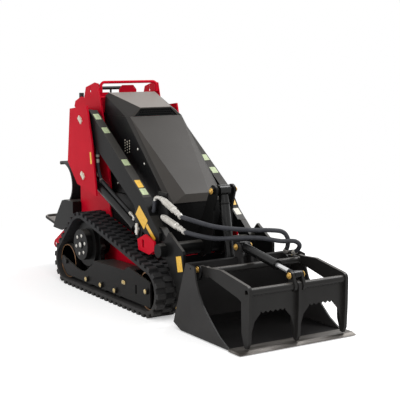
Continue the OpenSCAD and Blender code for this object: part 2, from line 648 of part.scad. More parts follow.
// Bucket: bent sheet between two side plates
bucket_low = 8;
heel = [798, bucket_low];
bucket_path = [[1310, bucket_low], heel, back_low, back_high];
side_pts = [[1300, bucket_low + 6], [1200, 66], [1120, 130], [1036, 205], [990, 270], [961, 335], [950, 385], [948, 410], [905, 418], back_high, back_low, heel + [0, bucket_t]];
module bucket() color(BLACK) difference() {
    union() {
        folded([[1310, bucket_low], heel, back_low, back_high], -bucket_t, -bucket_hw, bucket_hw);
        twin() slab(-bucket_hw, -bucket_hw + 10) polygon(side_pts);
        folded([back_high - 60 * unit(back_angle), back_high], -2 * bucket_t, -bucket_hw, bucket_hw);
        twin() {
            for (y = [-grab_hinge_y - 18, -grab_hinge_y + 6]) slab(y, y + 12) taper(grab_h, 24, grab_h + [-22, -35], 30);
            slab(-44, -28) taper(grab_c, 26, grab_c + [19, -95], 34);
            cross_pin(grab_h, tool_pin_r, -grab_hinge_y - 24, -grab_hinge_y + 24);
        }
        cross_pin(grab_c, tool_pin_r, -50, 50);
    }
    twin() cross_pin([905, 395], 7, -bucket_hw - 1, -bucket_hw + 11);
}
module cutting_edge() color(GREY) slab(-edge_hw, edge_hw)
    polygon([[1310 + meet, 5], [edge_x, 5], [edge_x, 8], [edge_x - 30, 20], [1310 + meet, 20]]);

// Grapple: side arms with their tines, cross members and cylinder lugs
grab_tube_c = [1390, 342];
grab_rear_c = [985, 385];
tine_pts = [[1341, 300], [1341, 247], [1346, 106], [1374, 32], [1394, 27], [1412, 60], [1418, 200], [1418, 345]];
side_arm_pts = [[1010, 364], [1304, 298], [1341, 283], [1418, 300], [1418, 346], [1392, 379], [1137, 421], [1000, 413]];
leg_pts = [[0, 40], [14, 110], [34, 175], [72, 216]];
plate_x = 1385;
plate_t = 8;
tooth_d = 12;
module grapple_frame() color(BLACK) difference() {
    union() {
        twin() {
            slab(-tine_hw, -tine_hw + tine_t) {
                translate(grab_rear_c) circle(32);
                translate([1384, 346]) circle(34);
                polygon(side_arm_pts);
                polygon(tine_pts);
            }
            slab(-grab_hinge_y - 5, -grab_hinge_y + 5) difference() {
                taper(grab_h, 22, grab_rear_c, 24);
                translate(grab_h) circle(tool_pin_r + pin_fit);
            }
            slab(-38, -22) taper(grab_g, 22, grab_tube_c, 30);
            cross_pin(grab_g, 16, -46, -38);
        }
        cross_pin(grab_rear_c, 20, -tine_hw + 2, tine_hw - 2);
        cross_pin(grab_tube_c, grab_tube_r, -tine_hw + 2, tine_hw - 2);
    }
    cross_pin(grab_tube_c, grab_tube_r - 7, -tine_hw - 1, tine_hw + 1);
}
// Middle tine, and the arched plates between the tines with their toothed edge
module grapple_tines() color(BLACK) difference() {
    union() {
        slab(-tine_t / 2, tine_t / 2) {
            translate(grab_tube_c) circle(27);
            polygon(tine_pts);
        }
        for (y = [-tine_hw + tine_t, tine_t / 2]) translate([plate_x, y, 0]) rotate([90, 0, 90]) linear_extrude(plate_t) {
            w = tine_hw - tine_t * 1.5;
            polygon(concat([[0, grab_tube_c[1]]], leg_pts,
                [for (k = [0:10]) [75 + k * (w - 150) / 10, 228 - (k % 2) * tooth_d]],
                [for (k = [3:-1:0]) [w - leg_pts[k][0], leg_pts[k][1]]], [[w, grab_tube_c[1]]]));
        }
    }
    cross_pin(grab_tube_c, grab_tube_r + pin_fit, -tine_hw, tine_hw);
    twin() cross_pin(grab_tube_c, 30 + meet, -38 - meet, -22 + meet);
}

placed() track(-1);  // track_right
placed() track(1);  // track_left
placed() track_frame(-1);  // track_frame_right
placed() track_frame(1);  // track_frame_left
placed() sprocket(-1);  // sprocket_right
placed() sprocket(1);  // sprocket_left
placed() rollers(-1);  // rollers_right
placed() rollers(1);  // rollers_left
placed() chassis_frame();
placed() side_panels();
placed() front_brackets();
placed() rear_plates();
placed() engine_bay();
placed() engine();
placed() tower(-1);  // tower_right
placed() tower(1);  // tower_left
placed() pivot_pins();
placed() console();
placed() guard_bar();
placed() controls();
placed() thigh_pad();
placed() platform_base();
placed() platform();
placed() hood_main();
placed() hood_top();
placed() hood_mesh();
placed() arm(-1);  // arm_right
placed() arm(1);  // arm_left
placed() cross_tube();
placed() gooseneck(-1);  // gooseneck_right
placed() gooseneck(1);  // gooseneck_left
placed() tilt_bracket();
placed() coupler_bracket();
placed() couplers();
placed() hose_upper();
placed() hose_lower();
placed() lift_barrel(-1);  // lift_barrel_right
placed() lift_barrel(1);  // lift_barrel_left
placed() lift_rod(-1);  // lift_rod_right
placed() lift_rod(1);  // lift_rod_left
placed() tilt_barrel();
placed() tilt_rod();
placed() mount_plate();
placed() bucket();
placed() cutting_edge();
placed() grapple_barrel();
placed() grapple_rod();
placed() grapple_frame();
placed() grapple_tines();
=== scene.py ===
import json
import math
import bmesh
import bpy
import numpy as np
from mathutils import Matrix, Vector


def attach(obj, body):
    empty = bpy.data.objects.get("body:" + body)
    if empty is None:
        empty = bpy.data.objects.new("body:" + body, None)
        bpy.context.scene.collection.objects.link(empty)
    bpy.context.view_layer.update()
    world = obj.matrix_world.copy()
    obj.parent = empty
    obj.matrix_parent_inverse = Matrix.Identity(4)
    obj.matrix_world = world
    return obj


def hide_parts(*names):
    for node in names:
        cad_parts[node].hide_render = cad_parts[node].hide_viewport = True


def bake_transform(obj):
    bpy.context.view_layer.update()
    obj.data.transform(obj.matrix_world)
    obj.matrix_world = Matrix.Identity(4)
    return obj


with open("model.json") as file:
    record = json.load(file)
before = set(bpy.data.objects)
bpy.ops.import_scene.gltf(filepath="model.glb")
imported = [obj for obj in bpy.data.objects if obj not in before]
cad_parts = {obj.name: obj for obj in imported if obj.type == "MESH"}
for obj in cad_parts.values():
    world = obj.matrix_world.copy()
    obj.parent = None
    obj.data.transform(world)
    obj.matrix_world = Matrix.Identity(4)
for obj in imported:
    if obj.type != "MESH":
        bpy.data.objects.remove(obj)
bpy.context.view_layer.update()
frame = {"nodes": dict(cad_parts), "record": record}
nodes = frame["nodes"]

# Shapes are worked out in the machine's own millimetres, and mm() takes them to the row's metres.
# The shift is the row's x less the machine's x.
SHIFT = -0.013
SIDES = (("right", -1), ("left", 1))
ACROSS = np.array([0.0, 1.0, 0.0])
UP = np.array([0.0, 0.0, 1.0])

# Places across the machine, in mm from its middle plane. The first is the middle of an arm and of its
# cylinder, the second that of the couplings, and each of the others lies just outside the face it names.
ARM_MIDDLE = 305
COUPLING_MIDDLE = -300
ARM_SIDE = 335.4
TOWER_SIDE = 360.4
HOOD_SIDE = 213.1
ROLLER_CAP = 415.4
TENSIONER_SLOT = 403.4
HUB_SIDE = 414.2


# Materials

def srgb(code):
    """Linear colour of an sRGB hex code: c / 12.92 to 0.04045, and ((c + 0.055) / 1.055) ** 2.4 above."""
    values = [int(code[i:i + 2], 16) / 255 for i in (0, 2, 4)]
    return tuple(v / 12.92 if v <= 0.04045 else ((v + 0.055) / 1.055) ** 2.4 for v in values) + (1.0,)


def add(tree, kind, links=None, values=None, **settings):
    """Adds a node. The settings are its attributes, values its sockets' numbers by socket, and links the
    (node, output) that feeds each socket."""
    made = tree.nodes.new(kind)
    for key, value in settings.items():
        setattr(made, key, value)
    for key, value in (values or {}).items():
        made.inputs[key].default_value = value
    for key, (other, out) in (links or {}).items():
        tree.links.new(other.outputs[out], made.inputs[key])
    return made


def finish_of(name, colour, second, rough, metallic=0.0, patch_mm=120.0, grain_mm=0.6, bump=0.05,
              rough_spread=0.12, spec=None, dust=0.0, stretch=(1, 1, 1)):
    """A surface that drifts between two colours in patches, with a fine grain raised on it.
    Share of the second colour = (patch noise - 0.38) / (0.66 - 0.38). Roughness = rough, less or more
    half its spread by the same noise. The spots of the two noises are patch_mm and grain_mm across.
    Share of pale soil = dust * (0.45 - height) / (0.45 - 0.02) * speckle noise, with height in metres."""
    material = bpy.data.materials.new(name)
    material.use_nodes = True
    tree = material.node_tree
    shader = tree.nodes["Principled BSDF"]
    shader.inputs["Metallic"].default_value = metallic
    if spec is not None:
        shader.inputs["Specular IOR Level"].default_value = spec
    place = add(tree, "ShaderNodeTexCoord")
    stretched = add(tree, "ShaderNodeMapping", {"Vector": (place, "Object")}, {"Scale": stretch})
    patches = add(tree, "ShaderNodeTexNoise", {"Vector": (stretched, 0)},
                  {"Scale": 1000 / patch_mm, "Detail": 5.0, "Roughness": 0.6})
    spread = add(tree, "ShaderNodeMapRange", {"Value": (patches, 0)}, {"From Min": 0.38, "From Max": 0.66})
    tint = add(tree, "ShaderNodeMix", {"Factor": (spread, 0)}, {"A": srgb(colour), "B": srgb(second)},
               data_type="RGBA")
    last = (tint, "Result")
    if dust > 0:
        height = add(tree, "ShaderNodeSeparateXYZ", {"Vector": (place, "Object")})
        low = add(tree, "ShaderNodeMapRange", {"Value": (height, "Z")},
                  {"From Min": 0.02, "From Max": 0.45, "To Min": dust, "To Max": 0.0})
        speckle_mm = 9
        speckle = add(tree, "ShaderNodeTexNoise", {"Vector": (place, "Object")},
                      {"Scale": 1000 / speckle_mm, "Detail": 6.0})
        amount = add(tree, "ShaderNodeMath", {0: (low, 0), 1: (speckle, 0)}, operation="MULTIPLY")
        soil = add(tree, "ShaderNodeMix", {"Factor": (amount, 0), "A": last}, {"B": srgb("8b8478")},
                   data_type="RGBA")
        last = (soil, "Result")
    tree.links.new(last[0].outputs[last[1]], shader.inputs["Base Color"])
    gloss = add(tree, "ShaderNodeMapRange", {"Value": (patches, 0)},
                {"To Min": rough - rough_spread / 2, "To Max": rough + rough_spread / 2})
    tree.links.new(gloss.outputs[0], shader.inputs["Roughness"])
    if bump > 0:
        grain = add(tree, "ShaderNodeTexNoise", {"Vector": (stretched, 0)},
                    {"Scale": 1000 / grain_mm, "Detail": 3.0})
        raised = add(tree, "ShaderNodeBump", {"Height": (grain, 0)},
                     {"Strength": bump, "Distance": grain_mm / 4000})
        tree.links.new(raised.outputs[0], shader.inputs["Normal"])
    return material


def mix_in(material, colour, share):
    """Lays a colour over a finish: own * (1 - share) + colour * share, with share a (node, output)."""
    tree = material.node_tree
    socket = tree.nodes["Principled BSDF"].inputs["Base Color"]
    own = socket.links[0].from_socket
    mixed = add(tree, "ShaderNodeMix", {"Factor": share}, {"B": srgb(colour)}, data_type="RGBA")
    tree.links.new(own, mixed.inputs["A"])
    tree.links.new(mixed.outputs["Result"], socket)
    return material


def near(material, colour, centre, start_mm, end_mm):
    """Turns a finish to another colour close to a point: share = (end - distance) / (end - start)."""
    tree = material.node_tree
    place = add(tree, "ShaderNodeTexCoord")
    gap = add(tree, "ShaderNodeVectorMath", {0: (place, "Object")}, {1: centre}, operation="DISTANCE")
    share = add(tree, "ShaderNodeMapRange", {"Value": (gap, "Value")},
                {"From Min": end_mm / 1000, "From Max": start_mm / 1000})
    return mix_in(material, colour, (share, 0))


def leaning(material, colour, start, end, axis="Y", both=True):
    """Turns a finish to another colour where a face leans along an axis.
    Share = (|n| - start) / (end - start), with n the normal's part along the axis.
    With both off n keeps its sign, so that only the faces turned up or forward change."""
    tree = material.node_tree
    place = add(tree, "ShaderNodeTexCoord")
    normal = add(tree, "ShaderNodeSeparateXYZ", {"Vector": (place, "Normal")})
    lean = (normal, axis)
    if both:
        lean = (add(tree, "ShaderNodeMath", {0: lean}, operation="ABSOLUTE"), 0)
    share = add(tree, "ShaderNodeMapRange", {"Value": lean}, {"From Min": start, "From Max": end})
    return mix_in(material, colour, (share, 0))


# Powder-coated steel, cured to an orange peel about 2 mm across: bright, slightly uneven gloss
RED_COAT = dict(colour="cc0f28", second="bf0d25", rough=0.34, patch_mm=300, grain_mm=2.2, spec=0.04)
red_paint = finish_of("powder_coat_red", **RED_COAT)
# The same coat on the chassis box, whose front cover is black
chassis_paint = finish_of("powder_coat_chassis", **RED_COAT)
leaning(chassis_paint, "141415", 0.80, 0.90, "X")
# Black gloss enamel sprayed on welded plate: near black with a soft broad highlight, and a painted
# highlight that greys what faces up
black_paint = finish_of("black_enamel", "151515", "101010", 0.34, patch_mm=260, grain_mm=2.0, bump=0.06,
                        spec=0.10, dust=0.03)
# Painted highlight: faces turned up are made paler grey, standing in for the light that falls on them
leaning(black_paint, "474542", 0.68, 0.86, "Z", both=False)
# Enamel of the cylinder barrels, polished by wiping: darker and glossier than the plates
barrel_paint = finish_of("gloss_black_enamel", "101010", "0c0c0c", 0.24, patch_mm=200, grain_mm=2.0,
                         bump=0.04, spec=0.28)
# Black powder coat of the bucket, a little greyer and flatter, with painted shade that darkens its level
# faces
bucket_paint = finish_of("black_powder_coat", "302f2f", "282727", 0.40, patch_mm=300, grain_mm=1.8,
                         bump=0.07, spec=0.14, dust=0.03)
# Painted shade: level faces, such as the bucket's shadowed floor, turn near black
leaning(bucket_paint, "121111", 0.5, 0.8, "Z")
# The same coat on the grapple, with a painted highlight that greys it where it faces up
grapple_paint = finish_of("grapple_powder_coat", "252423", "1f1e1d", 0.36, patch_mm=300, grain_mm=1.8,
                          bump=0.07, spec=0.16)
# Painted highlight: faces turned up are made paler grey
leaning(grapple_paint, "55524f", 0.70, 0.95, "Z", both=False)
# Satin dark-grey powder coat of the hood's front: a painted highlight makes the top paler where it faces
# up, painted shade darkens the chamfers, and the upright sides are black
hood_paint = finish_of("satin_grey_coat", "3f3c39", "3b3835", 0.40, patch_mm=400, grain_mm=1.6, spec=0.15)
# Painted highlight: the top, turned up, is made paler
leaning(hood_paint, "8b8580", 0.84, 0.93, "Z", both=False)
# Painted shade: the chamfers are made darker
leaning(hood_paint, "302e2c", 0.30, 0.50)
leaning(hood_paint, "131314", 0.90, 0.97)
# Moulded rubber of the tracks: matt, with pale dust towards the floor
track_rubber = finish_of("track_rubber", "232325", "18181a", 0.72, patch_mm=60, grain_mm=1.5, bump=0.25,
                         spec=0.3, dust=0.12)
# Yellow-passivated zinc on pin caps: pale gold, a little cloudy
zinc = finish_of("yellow_zinc", "cfa95c", "b0883c", 0.36, metallic=0.55, patch_mm=25, grain_mm=0.8,
                 bump=0.04)
# Turned and plated steel of hub bolts, retainers and couplings: pale and a little cloudy
plated = finish_of("plated_steel", "d8d5cf", "c4c1ba", 0.42, metallic=0.7, patch_mm=60, bump=0.03)
# Hard-chromed cylinder rods: near mirror, ground smooth, so with no grain
CHROME = dict(colour="dcdcdc", second="cfcfd2", patch_mm=200, bump=0.0, rough_spread=0.04)
chrome = finish_of("hard_chrome", rough=0.10, metallic=1.0, **CHROME)
# Chrome of the grapple's rod, with the eye at its end painted black
GRAPPLE_EYE = (1.362, 0.0, 0.399)
painted_rod = finish_of("painted_rod_end", rough=0.22, metallic=0.6, **CHROME)
near(painted_rod, "101010", GRAPPLE_EYE, 66, 68)
# Clear-passivated zinc on the tower's pin plates and the hood's vent rims: warm pale grey
pin_plate = finish_of("clear_zinc_plate", "e3dccb", "cbc3b0", 0.42, metallic=0.15, patch_mm=22,
                      grain_mm=0.8, bump=0.04)
# Pale yellow zinc of the track frames' bolts
pale_zinc = finish_of("pale_yellow_zinc", "dcc99a", "b79c5e", 0.36, metallic=0.35, patch_mm=12,
                      grain_mm=0.8, bump=0.04)
# Steel of the idler rims, worn bright by the track and browned
worn_rim = finish_of("worn_idler_rim", "9a7350", "5e432e", 0.38, metallic=0.6, patch_mm=35, grain_mm=1.0,
                     bump=0.08)
# Bare rolled edge of the bucket, scoured along its length: dull brown-grey
edge_steel = finish_of("rolled_edge_steel", "7a7672", "4f4b46", 0.44, metallic=0.8, patch_mm=30,
                       grain_mm=1.0, bump=0.12, stretch=(1, 0.15, 1))
# Extruded rubber hose under a woven nylon sleeve: dull dark grey
hose_rubber = finish_of("hose_sleeve", "3a3b40", "303136", 0.60, patch_mm=40, grain_mm=1.6, bump=0.25,
                        spec=0.3)
# Moulded plastic of the levers, pads and hose guards: matt, fine leathery grain
plastic = finish_of("moulded_plastic", "1b1b1c", "151516", 0.55, patch_mm=90, grain_mm=1.4, bump=0.2,
                    spec=0.4)
# Retro tape of the lift arms: pale green film over fine glass beads, a little uneven
green_tape = finish_of("pale_green_tape", "c3d1a4", "a9b78d", 0.38, patch_mm=14, grain_mm=0.5)
# Printed polyester label left blank: amber with a faint crease
amber_film = finish_of("amber_label_film", "f4c342", "e6b02c", 0.35, patch_mm=16, grain_mm=0.5, bump=0.04)
# Cream polyester label left blank
cream_film = finish_of("cream_label_film", "dcd9cb", "c6c2b2", 0.38, patch_mm=12, grain_mm=0.5, bump=0.04)
# Painted shade: a near-black matt sheet standing in for the dark hollow behind a punched hole
shade_sheet = finish_of("painted_shade_sheet", "08080a", "050506", 0.9, patch_mm=30, bump=0.0, spec=0.1)

# The finish of each CAD node, by its name or else by its material slot
slot_finish = {"rubber": track_rubber, "black_paint": black_paint, "zinc": plated, "red_paint": red_paint,
               "grey_paint": hood_paint, "black_plastic": plastic, "mesh": black_paint,
               "coupler_steel": plated, "hose_rubber": hose_rubber, "rod_chrome": chrome,
               "edge_steel": edge_steel}
node_finish = {"chassis_frame": chassis_paint, "bucket": bucket_paint, "mount_plate": bucket_paint,
               "grapple_frame": grapple_paint, "grapple_tines": grapple_paint, "grapple_rod": painted_rod,
               "pivot_pins": pin_plate, "tilt_barrel": barrel_paint, "grapple_barrel": barrel_paint,
               "lift_barrel_right": barrel_paint, "lift_barrel_left": barrel_paint}
for part in frame["record"]["subparts"]:
    mesh = nodes[part["node"]].data
    mesh.materials.clear()
    mesh.materials.append(node_finish.get(part["node"], slot_finish[part["material_slot"]]))


# Surfaces

def mm(x, y, z):
    """Machine millimetres to row metres: (x / 1000 + shift, y / 1000, z / 1000)."""
    return np.array([x / 1000 + SHIFT, y / 1000, z / 1000])


def square_to(axis):
    """The axis at unit length, its unit cross product with a fixed slanting vector, and the third
    direction, the cross product of the two."""
    axis = np.asarray(axis, float) / np.linalg.norm(axis)
    first = np.cross(axis, (0.31, 0.17, 0.93))
    first /= np.linalg.norm(first)
    return axis, first, np.cross(axis, first)


def turned(start, axis, profile, sides=32):
    """Surface of revolution. Ring k is start + h_k * axis + r_k * (cos a * first + sin a * second) for
    (h_k, r_k) of the profile in mm, with a from 0 to a full turn."""
    axis, first, second = square_to(axis)
    angle = np.linspace(0, 2 * np.pi, sides, endpoint=False)
    ring = np.cos(angle)[:, None] * first + np.sin(angle)[:, None] * second
    steps = np.array(profile, float) / 1000
    return start + steps[:, 0, None, None] * axis + steps[:, 1, None, None] * ring


def smooth_path(points, count):
    """Curve through all the points: between two of them the cubic whose slope at each point is half the
    chord of its two neighbours, read at equal steps of its parameter."""
    p = np.array(points, float)
    p = np.vstack([2 * p[0] - p[1], p, 2 * p[-1] - p[-2]])
    u = np.linspace(0, len(p) - 3, count)
    i = np.minimum(u.astype(int), len(p) - 4)
    t = (u - i)[:, None]
    a, b, c, d = p[i], p[i + 1], p[i + 2], p[i + 3]
    square, cube = 2 * a - 5 * b + 4 * c - d, 3 * b - a - 3 * c + d
    return 0.5 * (2 * b + (c - a) * t + square * t ** 2 + cube * t ** 3)


def swept(path, radius_mm, sides=14):
    """Tube along a path: at each point path + r * (cos a * first + sin a * second), where first is the
    last point's first less its part along the path, so that the tube doesn't twist."""
    tangent = np.gradient(path, axis=0)
    tangent /= np.linalg.norm(tangent, axis=1)[:, None]
    _, first, _ = square_to(tangent[0])
    firsts = [first]
    for t in tangent[1:]:
        first = first - t * (first @ t)
        first = first / np.linalg.norm(first)
        firsts.append(first)
    firsts = np.array(firsts)[:, None, :]
    seconds = np.cross(tangent[:, None, :], firsts)
    angle = np.linspace(0, 2 * np.pi, sides, endpoint=False)[None, :, None]
    radius = np.broadcast_to(np.asarray(radius_mm, float) / 1000, len(path))[:, None, None]
    return path[:, None, :] + radius * (np.cos(angle) * firsts + np.sin(angle) * seconds)


def rounded(half_u, half_v, corner, steps=4):
    """Outline of a rectangle in mm with round corners: at each corner the quarter circle
    centre + corner * (cos a, sin a), with the centre a corner radius inside both edges."""
    angle = np.linspace(0, np.pi / 2, steps + 1)
    arcs = []
    for k, (su, sv) in enumerate([(1, 1), (-1, 1), (-1, -1), (1, -1)]):
        turn = angle + k * np.pi / 2
        u = su * (half_u - corner) + corner * np.cos(turn)
        v = sv * (half_v - corner) + corner * np.sin(turn)
        arcs.append(np.stack([u, v], 1))
    return np.concatenate(arcs)


def plate(centre, along, across, outline, thick_mm, chamfer_mm=0.0):
    """Flat plate: centre + u * along + v * across + height * up for the (u, v) of the outline, with up
    the cross product of the two. A chamfer draws the last ring in towards the middle by its width."""
    along = np.asarray(along, float) / np.linalg.norm(along)
    across = np.asarray(across, float) / np.linalg.norm(across)
    up = np.cross(along, across)
    flat = np.asarray(outline, float)
    inwards = (flat - flat.mean(0)) / np.linalg.norm(flat - flat.mean(0), axis=1)[:, None]
    levels = [(0, 0), (thick_mm - chamfer_mm, 0)]
    if chamfer_mm:
        levels.append((thick_mm, chamfer_mm))
    rings = []
    for height, inset in levels:
        shape = flat - inset * inwards
        rings.append(centre + (shape[:, :1] * along + shape[:, 1:] * across + height * up) / 1000)
    return np.array(rings)


def hex_head(start, axis, across_mm, high_mm, washer_mm):
    """Washer and chamfered six-sided head as two turned surfaces: a head's corner radius is its width
    across the flats / sqrt(3)."""
    radius = across_mm / math.sqrt(3)
    return [turned(start, axis, [(0, washer_mm), (2, washer_mm), (2.6, washer_mm - 1)]),
            turned(start, axis, [(2, radius), (high_mm - 1.2, radius), (high_mm, radius - 2)], sides=6)]


def piece(name, surfaces, material, body, crease=35):
    """One mesh from surfaces of rings: point j of ring k is k * sides + j, quads join ring k to ring
    k + 1, and the first and last rings are closed."""
    verts, quads, caps, base = [], [], [], 0
    for rings in surfaces:
        count, sides = rings.shape[:2]
        k, j = np.meshgrid(np.arange(count - 1), np.arange(sides), indexing="ij")
        here, after = k * sides + j, k * sides + (j + 1) % sides
        quads.append(np.stack([here, after, after + sides, here + sides], -1).reshape(-1, 4) + base)
        bottom = np.arange(sides) + base
        caps += [bottom[::-1].tolist(), (bottom + (count - 1) * sides).tolist()]
        verts.append(rings.reshape(-1, 3))
        base += count * sides
    mesh = bpy.data.meshes.new(name)
    mesh.from_pydata(np.concatenate(verts).tolist(), [], np.concatenate(quads).tolist() + caps)
    shell = bmesh.new()
    shell.from_mesh(mesh)
    bmesh.ops.recalc_face_normals(shell, faces=shell.faces)
    shell.to_mesh(mesh)
    shell.free()
    mesh.shade_smooth()
    mesh.set_sharp_from_angle(angle=math.radians(crease))
    mesh.materials.append(material)
    made = bpy.data.objects.new(name, mesh)
    bpy.context.scene.collection.objects.link(made)
    if body:
        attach(made, body)
    return made


# Undercarriage: machine (x, z) of each wheel's middle, and each idler's radius
REAR_IDLER, FRONT_IDLER, ROLLERS = (-747, 162), (400, 165), [(-422, 92), (-208, 92), (-9, 92)]
IDLER_RIMS = [(REAR_IDLER, 119.6), (FRONT_IDLER, 122.6)]
RIM_SIDE = 386.2
SPROCKET = (-495, 318)
HUB_BOLTS, HUB_BOLT_RING = 6, 66
TENSIONER = (102, 166)
TENSIONER_THICK = 4


def rim(x, z, s, r):
    """The rolled edge of an idler: a ring that swells 2 mm out of its face, 3 mm inside its radius."""
    profile = [(0, r - 9), (1.2, r - 8), (2, r - 3), (1.2, r - 1.5), (0, r - 1)]
    return turned(mm(x, s * RIM_SIDE, z), s * ACROSS, profile, 64)


for side, s in SIDES:
    out = s * ACROSS
    bolts = []
    for x, z in (FRONT_IDLER, *ROLLERS):
        bolts += hex_head(mm(x, s * ROLLER_CAP, z), out, 19, 6, 15)
    x, z = TENSIONER
    bolts += [plate(mm(x, s * TENSIONER_SLOT, z), (1, 0, 0), (0, 0, -s), rounded(22, 13, 12),
                    TENSIONER_THICK, 1)]
    bolts += hex_head(mm(x, s * (TENSIONER_SLOT + TENSIONER_THICK), z), out, 17, 8, 11)
    piece(f"frame_bolts_{side}", bolts, pale_zinc, "base")
    x, z = SPROCKET
    hub = []
    for k in range(HUB_BOLTS):
        a = math.radians(k * 360 / HUB_BOLTS + 15)
        bolt = mm(x + HUB_BOLT_RING * math.cos(a), s * HUB_SIDE, z + HUB_BOLT_RING * math.sin(a))
        hub += hex_head(bolt, out, 17, 4.6, 12)
    hub += [turned(mm(x, s * HUB_SIDE, z), out, [(0, 22), (3, 22), (5.2, 17)])]
    piece(f"hub_bolts_{side}", hub, plated, "base")
    rims = [rim(x, z, s, r) for (x, z), r in IDLER_RIMS]
    piece(f"idler_rims_{side}", rims, worn_rim, "base")

# Films on the lift arms and the tower. The arm's top edge in machine (x, z): its long slope falls at
# 34.7 degrees through z 894.5 at x 0, and two steeper stretches follow at the front.
ARM_FALL, ARM_LEVEL = math.tan(math.radians(34.7)), 894.5
ARM_TOP = np.array([(-493, ARM_LEVEL + ARM_FALL * 493), (243, ARM_LEVEL - ARM_FALL * 243),
                    (328, 620), (440, 527)])
FILM_THICK = 0.6
FILM_LIFT = 0.4


def top_film(x, s, half_long, half_wide):
    """A film on the arm's upper face at machine x: z = z_k + (x - x_k) * rise / run on the stretch of the
    edge from corner k, lifted square to it."""
    k = int(np.searchsorted(ARM_TOP[:, 0], x)) - 1
    run = ARM_TOP[k + 1] - ARM_TOP[k]
    z = ARM_TOP[k][1] + (x - ARM_TOP[k][0]) * run[1] / run[0]
    slope = np.array([run[0], 0, run[1]]) / np.hypot(*run)
    lift = np.cross(slope, ACROSS) * FILM_LIFT / 1000
    outline = rounded(half_long, half_wide, 4)
    return plate(mm(x, s * ARM_MIDDLE, z) + lift, slope, ACROSS, outline, FILM_THICK)


def side_film(x, y, z, degrees, half_long, half_wide, corner):
    """A film on an upright face that looks to the right: its long side runs along (cos a, sin a) in
    (x, z), and its short side along (-sin a, cos a)."""
    cos, sin = math.cos(math.radians(degrees)), math.sin(math.radians(degrees))
    return plate(mm(x, y, z), (cos, 0, sin), (-sin, 0, cos), rounded(half_long, half_wide, corner),
                 FILM_THICK)


# Machine x of each tape's middle, and of each label's with half its length
TAPES = {"right": [-432, -311, -36, 200], "left": [-311, -36, 73]}
AMBER_TOP = {"right": (138, 36), "left": (285, 46)}
for side, s in SIDES:
    tapes = [top_film(x, s, 30, 22) for x in TAPES[side]]
    piece(f"arm_tapes_{side}", tapes, green_tape, "arms")
    x, half_long = AMBER_TOP[side]
    piece(f"arm_top_labels_{side}", [top_film(x, s, half_long, 20)], amber_film, "arms")
piece("arm_cream_label_left", [top_film(352, 1, 28, 20)], cream_film, "arms")
piece("arm_side_labels", [side_film(222, -ARM_SIDE, 598, -38, 68, 40, 5),
                          side_film(335, -ARM_SIDE, 517, -38, 66, 15, 4)],
      amber_film, "arms")
piece("gooseneck_label", [side_film(678, -ARM_SIDE, 376, 13, 30, 47, 4)],
      amber_film, "arms")
piece("tower_label", [side_film(-428, -TOWER_SIDE, 917, -81.951, 40, 11, 3)],
      amber_film, "base")

# Pin heads on both sides: machine (x, z), the y of the face they sit on, and the body they ride on
PIN_HEADS = [("tilt_pin_heads", (642, 793), 86, "arms"),
             ("grapple_base_pin_heads", (857, 480), 50, "bucket"),
             ("grapple_rod_pin_heads", (1375, 399), 46, "grapple"),
             ("grapple_hinge_pin_heads", (884, 380), 339, "bucket"),
             ("bucket_hinge_pin_heads", (687, 110), 349, "bucket")]
for name, (x, z), y, body in PIN_HEADS:
    heads = []
    for s in (1, -1):
        heads += [turned(mm(x, s * (y + 0.3), z), s * ACROSS, [(0, 19), (3, 19), (4, 17.5)])]
        heads += [turned(mm(x, s * (y + 4.3), z), s * ACROSS, [(0, 12), (6, 12), (9, 9), (10, 5)])]
    piece(name, heads, zinc, body)

# Quick couplings: machine (x, z) of each one's two ends
COUPLERS = [((429, 730), (623, 663)), ((428, 624), (663, 574))]
RIBS = 8


def coupling_profile(length):
    """A coupling's steps in mm from its rear end: a plug, a collar, a ribbed grip over 60 % of its
    length, a flange, a lock ring and a nose. Rib k starts at 20 + k * (0.60 * length - 20) / 8."""
    ribs = []
    for k in range(RIBS):
        h = 20 + k * (length * 0.60 - 20) / RIBS
        ribs += [(h, 20.8), (h + 6, 20.8), (h + 7.5, 17.6), (h + 10, 17.6)]
    front = [(0.62, 21.5), (0.68, 21.5), (0.70, 16), (0.80, 15), (0.82, 17.5), (0.88, 17.5), (0.89, 13.5),
             (0.97, 13.5), (1, 12.6)]
    rear = [(-8, 9), (-8, 14), (4, 14), (4, 18), (16, 18)]
    return rear + ribs + [(length * share, radius) for share, radius in front]


shells = []
for (x0, z0), (x1, z1) in COUPLERS:
    run = np.array([x1 - x0, 0, z1 - z0], float)
    shells.append(turned(mm(x0, COUPLING_MIDDLE, z0), run, coupling_profile(np.linalg.norm(run))))
    # The latch, a small block on the inner side of the collar
    shells.append(plate(mm(x0 + 30, COUPLING_MIDDLE + 10, z0 - 10), (1, 0, -0.3), (0.3, 0, 1),
                        rounded(13, 12, 2), 14, 1))
couplers = piece("quick_couplers", shells, plated, "arms")
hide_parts("couplers")
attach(couplers, "arms")

# Elbow that brings the upper line round from the arm into its coupling, the six-sided nut at its end,
# and the hose below it
ELBOW = [(329, 714), (340, 731), (366, 738), (400, 737), (424, 731)]
ELBOW_HOSE = [(300, 640), (312, 648), (320, 664), (323, 690), (329.5, 715)]
elbow = smooth_path([mm(x, COUPLING_MIDDLE, z) for x, z in ELBOW], 30)
nut = turned(mm(402, COUPLING_MIDDLE, 737), (22, 0, -6), [(0, 10), (0, 15), (14, 15), (15, 10)], 6)
piece("coupler_elbow", [swept(elbow, 11, 16), nut], plated, "arms")
stub = smooth_path([mm(x, COUPLING_MIDDLE, z) for x, z in ELBOW_HOSE], 24)
piece("elbow_hose", [swept(stub, 12, 16)], hose_rubber, "arms")

# The two sleeved hoses from the couplings to the bucket. Their routes repeat those of the CAD, and each
# sleeve's weave is drawn as rings 0.6 mm high, coarser than the real one so that it shows.
HOSE_R = 14.0
HOSE_POINTS, SLEEVE_POINTS = 31, 181


